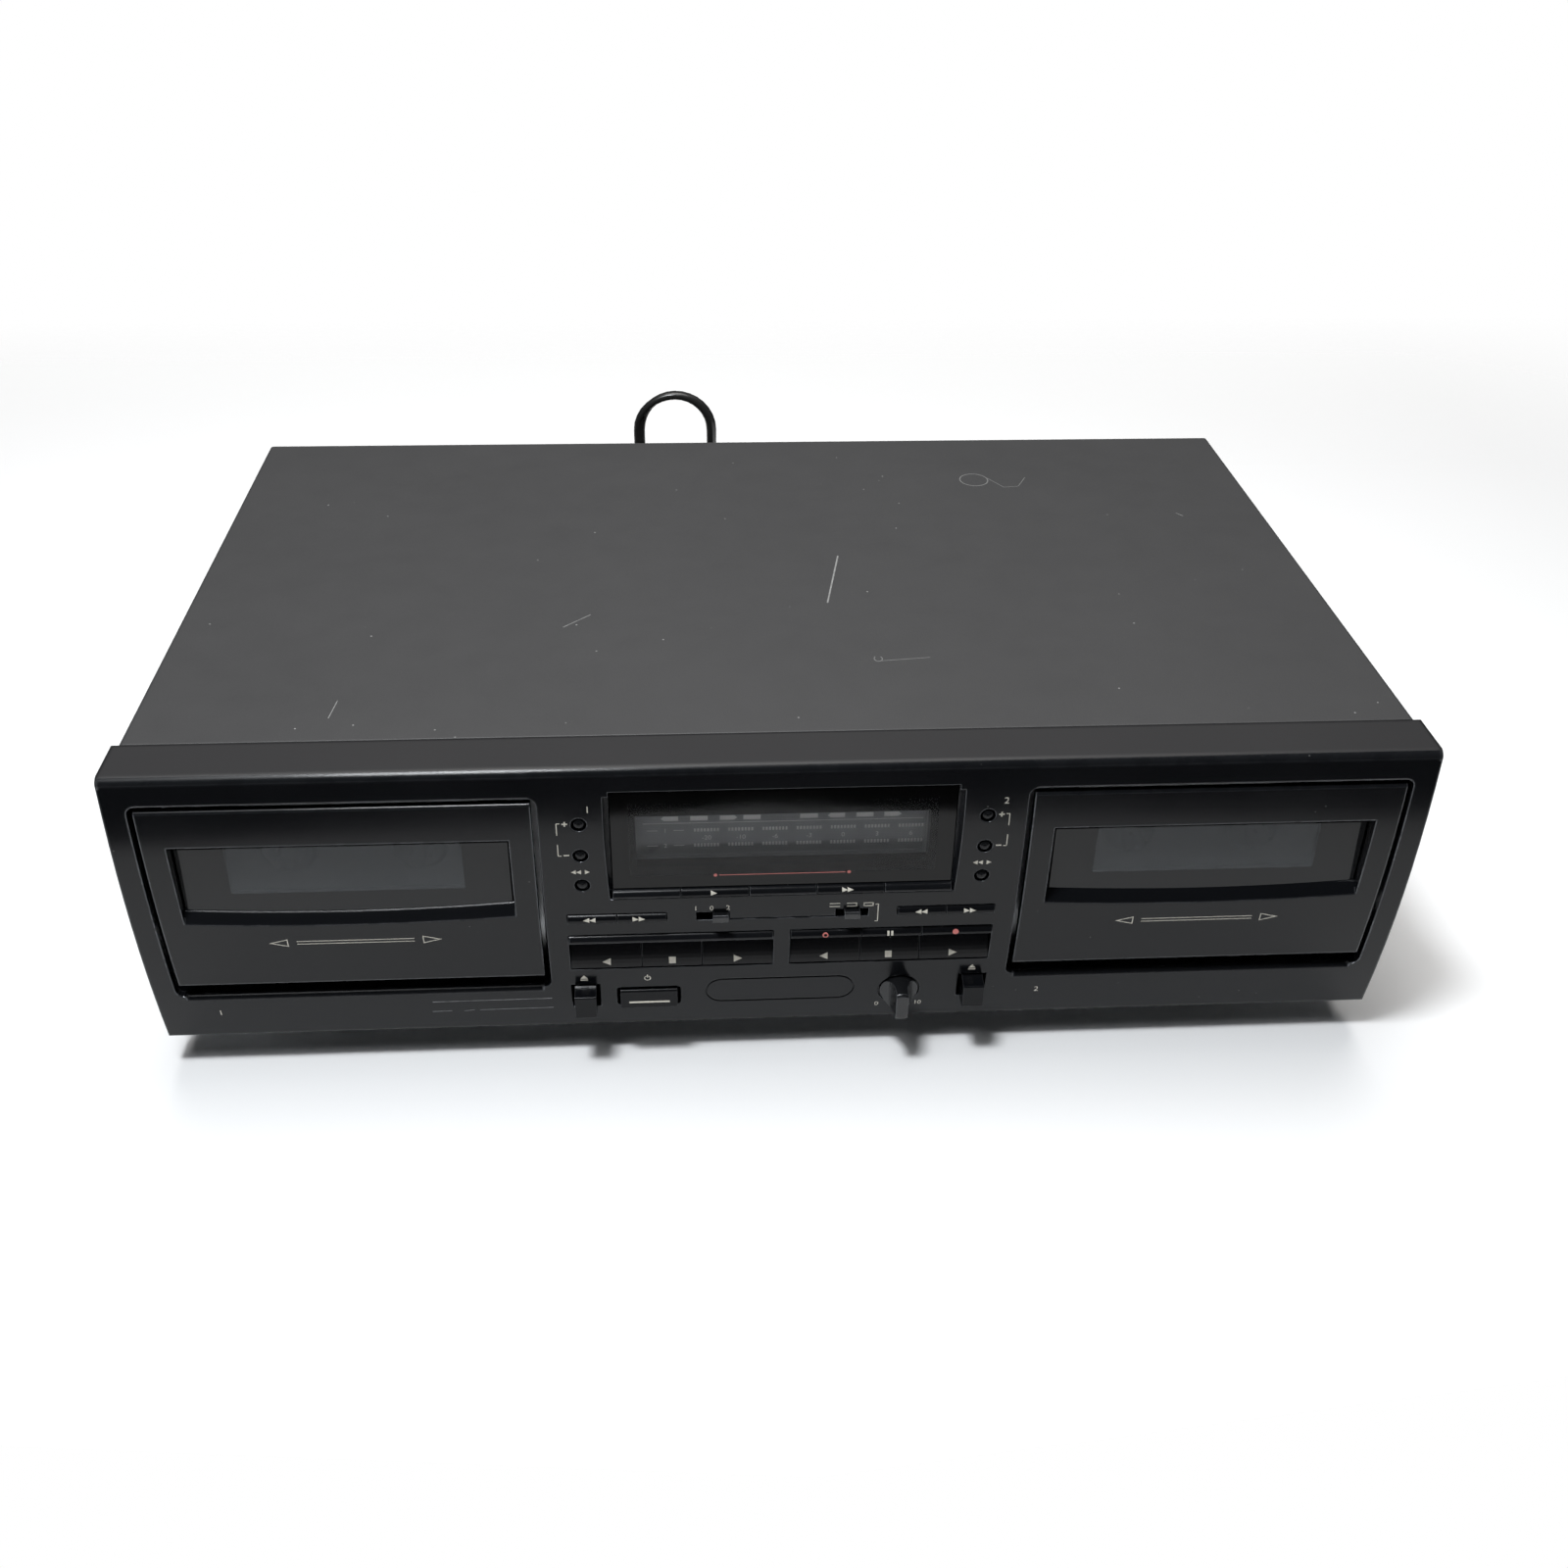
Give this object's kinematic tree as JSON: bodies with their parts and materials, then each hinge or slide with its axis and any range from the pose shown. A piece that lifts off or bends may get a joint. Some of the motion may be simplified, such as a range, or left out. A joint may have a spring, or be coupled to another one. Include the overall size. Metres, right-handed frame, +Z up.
{
  "type": "double cassette deck",
  "caption": "Double cassette deck with a curved front panel, hinged cassette doors, push keys, slide switches, a level knob and reel drives behind each door.",
  "frame": {"origin": "on the floor under the middle of the case, without the mains lead", "axes": "+X to the right, +Y to the back, +Z up; the doors face -Y"},
  "size_m": [0.42, 0.3302, 0.1397],
  "materials": {
    "zinc_steel": "zinc plated sheet",
    "cover_paint": "fine textured charcoal paint",
    "panel_black": "semi-gloss black moulding",
    "key_black": "satin black moulding",
    "rubber_black": "matt black",
    "bright_steel": "plated steel",
    "smoked_window": "smoked clear plastic",
    "tube_glass": "dark tube glass",
    "board_green": "lacquered board",
    "core_steel": "varnished laminations",
    "brass": "turned"
  },
  "bodies": {
    "case": {"bottom_chassis": "zinc_steel", "rear_panel": "cover_paint", "top_cover": "cover_paint", "front_panel": "panel_black", "feet": "rubber_black", "case_screws": "bright_steel", "display_lens": "smoked_window", "display_tube": "tube_glass", "circuit_boards": "board_green", "transformer": "core_steel", "phono_jacks": "key_black", "deck_frames": "zinc_steel", "drive_belts": "rubber_black", "strain_relief": "rubber_black", "power_cord": "rubber_black", "cord_hank": "rubber_black", "plug": "rubber_black"},
    "d1_door_set": {"d1_door": "panel_black", "d1_door_window": "smoked_window", "d1_cassette_holder": "bright_steel"},
    "d1_supply_hub_body": {"d1_supply_hub": "key_black"},
    "d1_take_up_hub_body": {"d1_take_up_hub": "key_black"},
    "d1_left_flywheel_body": {"d1_left_flywheel": "brass"},
    "d1_right_flywheel_body": {"d1_right_flywheel": "brass"},
    "d1_head_carriage_body": {"d1_head_carriage": "bright_steel"},
    "d2_door_set": {"d2_door": "panel_black", "d2_door_window": "smoked_window", "d2_cassette_holder": "bright_steel"},
    "d2_supply_hub_body": {"d2_supply_hub": "key_black"},
    "d2_take_up_hub_body": {"d2_take_up_hub": "key_black"},
    "d2_left_flywheel_body": {"d2_left_flywheel": "brass"},
    "d2_right_flywheel_body": {"d2_right_flywheel": "brass"},
    "d2_head_carriage_body": {"d2_head_carriage": "bright_steel"},
    "d1_play_reverse_key_body": {"d1_play_reverse_key": "key_black"},
    "d1_stop_key_body": {"d1_stop_key": "key_black"},
    "d1_play_forward_key_body": {"d1_play_forward_key": "key_black"},
    "d1_rewind_key_body": {"d1_rewind_key": "key_black"},
    "d1_fast_forward_key_body": {"d1_fast_forward_key": "key_black"},
    "d1_search_plus_button_body": {"d1_search_plus_button": "key_black"},
    "d1_search_minus_button_body": {"d1_search_minus_button": "key_black"},
    "d1_auto_play_button_body": {"d1_auto_play_button": "key_black"},
    "d1_eject_key_body": {"d1_eject_key": "key_black"},
    "d2_play_reverse_key_body": {"d2_play_reverse_key": "key_black"},
    "d2_stop_key_body": {"d2_stop_key": "key_black"},
    "d2_play_forward_key_body": {"d2_play_forward_key": "key_black"},
    "d2_rewind_key_body": {"d2_rewind_key": "key_black"},
    "d2_fast_forward_key_body": {"d2_fast_forward_key": "key_black"},
    "d2_search_plus_button_body": {"d2_search_plus_button": "key_black"},
    "d2_search_minus_button_body": {"d2_search_minus_button": "key_black"},
    "d2_auto_play_button_body": {"d2_auto_play_button": "key_black"},
    "d2_eject_key_body": {"d2_eject_key": "key_black"},
    "record_mute_key_body": {"record_mute_key": "key_black"},
    "pause_key_body": {"pause_key": "key_black"},
    "record_key_body": {"record_key": "key_black"},
    "copy_normal_key_body": {"copy_normal_key": "key_black"},
    "copy_high_key_body": {"copy_high_key": "key_black"},
    "power_key_body": {"power_key": "key_black"},
    "noise_switch_knob_body": {"noise_switch_knob": "key_black"},
    "reverse_mode_knob_body": {"reverse_mode_knob": "key_black"},
    "record_level_knob_body": {"record_level_knob": "key_black"}
  },
  "joints": [
    {"name": "d1_door_hinge", "type": "hinge", "parent": "case", "child": "d1_door_set", "pos_m": [-0.1402, -0.12329, 0.0435], "axis": [1, 0, 0], "range_deg": [0, 30]},
    {"name": "d1_supply_hub_spin", "type": "hinge", "parent": "case", "child": "d1_supply_hub_body", "pos_m": [-0.16145, -0.11309, 0.083], "axis": [0, 1, 0], "continuous": true},
    {"name": "d1_take_up_hub_spin", "type": "hinge", "parent": "case", "child": "d1_take_up_hub_body", "pos_m": [-0.11895, -0.11309, 0.083], "axis": [0, 1, 0], "continuous": true},
    {"name": "d1_left_flywheel_spin", "type": "hinge", "parent": "case", "child": "d1_left_flywheel_body", "pos_m": [-0.1712, -0.10609, 0.0562], "axis": [0, 1, 0], "continuous": true},
    {"name": "d1_right_flywheel_spin", "type": "hinge", "parent": "case", "child": "d1_right_flywheel_body", "pos_m": [-0.1092, -0.10609, 0.0562], "axis": [0, 1, 0], "continuous": true},
    {"name": "d1_head_lift", "type": "slide", "parent": "case", "child": "d1_head_carriage_body", "axis": [0, 0, 1], "range_m": [0, 0.0065]},
    {"name": "d2_door_hinge", "type": "hinge", "parent": "case", "child": "d2_door_set", "pos_m": [0.1402, -0.12329, 0.0435], "axis": [1, 0, 0], "range_deg": [0, 30]},
    {"name": "d2_supply_hub_spin", "type": "hinge", "parent": "case", "child": "d2_supply_hub_body", "pos_m": [0.11895, -0.11309, 0.083], "axis": [0, 1, 0], "continuous": true},
    {"name": "d2_take_up_hub_spin", "type": "hinge", "parent": "case", "child": "d2_take_up_hub_body", "pos_m": [0.16145, -0.11309, 0.083], "axis": [0, 1, 0], "continuous": true},
    {"name": "d2_left_flywheel_spin", "type": "hinge", "parent": "case", "child": "d2_left_flywheel_body", "pos_m": [0.1092, -0.10609, 0.0562], "axis": [0, 1, 0], "continuous": true},
    {"name": "d2_right_flywheel_spin", "type": "hinge", "parent": "case", "child": "d2_right_flywheel_body", "pos_m": [0.1712, -0.10609, 0.0562], "axis": [0, 1, 0], "continuous": true},
    {"name": "d2_head_lift", "type": "slide", "parent": "case", "child": "d2_head_carriage_body", "axis": [0, 0, 1], "range_m": [0, 0.0065]},
    {"name": "d1_play_reverse_key_press", "type": "slide", "parent": "case", "child": "d1_play_reverse_key_body", "axis": [0, 1, 0], "range_m": [0, 0.0015], "stiffness_N_per_m": 200},
    {"name": "d1_stop_key_press", "type": "slide", "parent": "case", "child": "d1_stop_key_body", "axis": [0, 1, 0], "range_m": [0, 0.0015], "stiffness_N_per_m": 200},
    {"name": "d1_play_forward_key_press", "type": "slide", "parent": "case", "child": "d1_play_forward_key_body", "axis": [0, 1, 0], "range_m": [0, 0.0015], "stiffness_N_per_m": 200},
    {"name": "d1_rewind_key_press", "type": "slide", "parent": "case", "child": "d1_rewind_key_body", "axis": [0, 1, 0], "range_m": [0, 0.0015], "stiffness_N_per_m": 200},
    {"name": "d1_fast_forward_key_press", "type": "slide", "parent": "case", "child": "d1_fast_forward_key_body", "axis": [0, 1, 0], "range_m": [0, 0.0015], "stiffness_N_per_m": 200},
    {"name": "d1_search_plus_button_press", "type": "slide", "parent": "case", "child": "d1_search_plus_button_body", "axis": [0, 1, 0], "range_m": [0, 0.0015], "stiffness_N_per_m": 200},
    {"name": "d1_search_minus_button_press", "type": "slide", "parent": "case", "child": "d1_search_minus_button_body", "axis": [0, 1, 0], "range_m": [0, 0.0015], "stiffness_N_per_m": 200},
    {"name": "d1_auto_play_button_press", "type": "slide", "parent": "case", "child": "d1_auto_play_button_body", "axis": [0, 1, 0], "range_m": [0, 0.0015], "stiffness_N_per_m": 200},
    {"name": "d1_eject_key_press", "type": "slide", "parent": "case", "child": "d1_eject_key_body", "axis": [0, 1, 0], "range_m": [0, 0.005], "stiffness_N_per_m": 150},
    {"name": "d2_play_reverse_key_press", "type": "slide", "parent": "case", "child": "d2_play_reverse_key_body", "axis": [0, 1, 0], "range_m": [0, 0.0015], "stiffness_N_per_m": 200},
    {"name": "d2_stop_key_press", "type": "slide", "parent": "case", "child": "d2_stop_key_body", "axis": [0, 1, 0], "range_m": [0, 0.0015], "stiffness_N_per_m": 200},
    {"name": "d2_play_forward_key_press", "type": "slide", "parent": "case", "child": "d2_play_forward_key_body", "axis": [0, 1, 0], "range_m": [0, 0.0015], "stiffness_N_per_m": 200},
    {"name": "d2_rewind_key_press", "type": "slide", "parent": "case", "child": "d2_rewind_key_body", "axis": [0, 1, 0], "range_m": [0, 0.0015], "stiffness_N_per_m": 200},
    {"name": "d2_fast_forward_key_press", "type": "slide", "parent": "case", "child": "d2_fast_forward_key_body", "axis": [0, 1, 0], "range_m": [0, 0.0015], "stiffness_N_per_m": 200},
    {"name": "d2_search_plus_button_press", "type": "slide", "parent": "case", "child": "d2_search_plus_button_body", "axis": [0, 1, 0], "range_m": [0, 0.0015], "stiffness_N_per_m": 200},
    {"name": "d2_search_minus_button_press", "type": "slide", "parent": "case", "child": "d2_search_minus_button_body", "axis": [0, 1, 0], "range_m": [0, 0.0015], "stiffness_N_per_m": 200},
    {"name": "d2_auto_play_button_press", "type": "slide", "parent": "case", "child": "d2_auto_play_button_body", "axis": [0, 1, 0], "range_m": [0, 0.0015], "stiffness_N_per_m": 200},
    {"name": "d2_eject_key_press", "type": "slide", "parent": "case", "child": "d2_eject_key_body", "axis": [0, 1, 0], "range_m": [0, 0.005], "stiffness_N_per_m": 150},
    {"name": "record_mute_key_press", "type": "slide", "parent": "case", "child": "record_mute_key_body", "axis": [0, 1, 0], "range_m": [0, 0.0015], "stiffness_N_per_m": 200},
    {"name": "pause_key_press", "type": "slide", "parent": "case", "child": "pause_key_body", "axis": [0, 1, 0], "range_m": [0, 0.0015], "stiffness_N_per_m": 200},
    {"name": "record_key_press", "type": "slide", "parent": "case", "child": "record_key_body", "axis": [0, 1, 0], "range_m": [0, 0.0015], "stiffness_N_per_m": 200},
    {"name": "copy_normal_key_press", "type": "slide", "parent": "case", "child": "copy_normal_key_body", "axis": [0, 1, 0], "range_m": [0, 0.0015], "stiffness_N_per_m": 200},
    {"name": "copy_high_key_press", "type": "slide", "parent": "case", "child": "copy_high_key_body", "axis": [0, 1, 0], "range_m": [0, 0.0015], "stiffness_N_per_m": 200},
    {"name": "power_key_press", "type": "slide", "parent": "case", "child": "power_key_body", "axis": [0, 1, 0], "range_m": [0, 0.0025], "stiffness_N_per_m": 200},
    {"name": "noise_switch_knob_slide", "type": "slide", "parent": "case", "child": "noise_switch_knob_body", "axis": [1, 0, 0], "range_m": [-0.0051, 0]},
    {"name": "reverse_mode_knob_slide", "type": "slide", "parent": "case", "child": "reverse_mode_knob_body", "axis": [1, 0, 0], "range_m": [-0.00255, 0.00255]},
    {"name": "record_level_turn", "type": "hinge", "parent": "case", "child": "record_level_knob_body", "pos_m": [0.0413, -0.12921, 0.0275], "axis": [0, 1, 0], "range_deg": [-150, 150]}
  ],
  "couplings": [
    {"joint": "d1_right_flywheel_spin", "follows": "d1_left_flywheel_spin", "ratio": -1},
    {"joint": "d2_right_flywheel_spin", "follows": "d2_left_flywheel_spin", "ratio": -1}
  ]
}
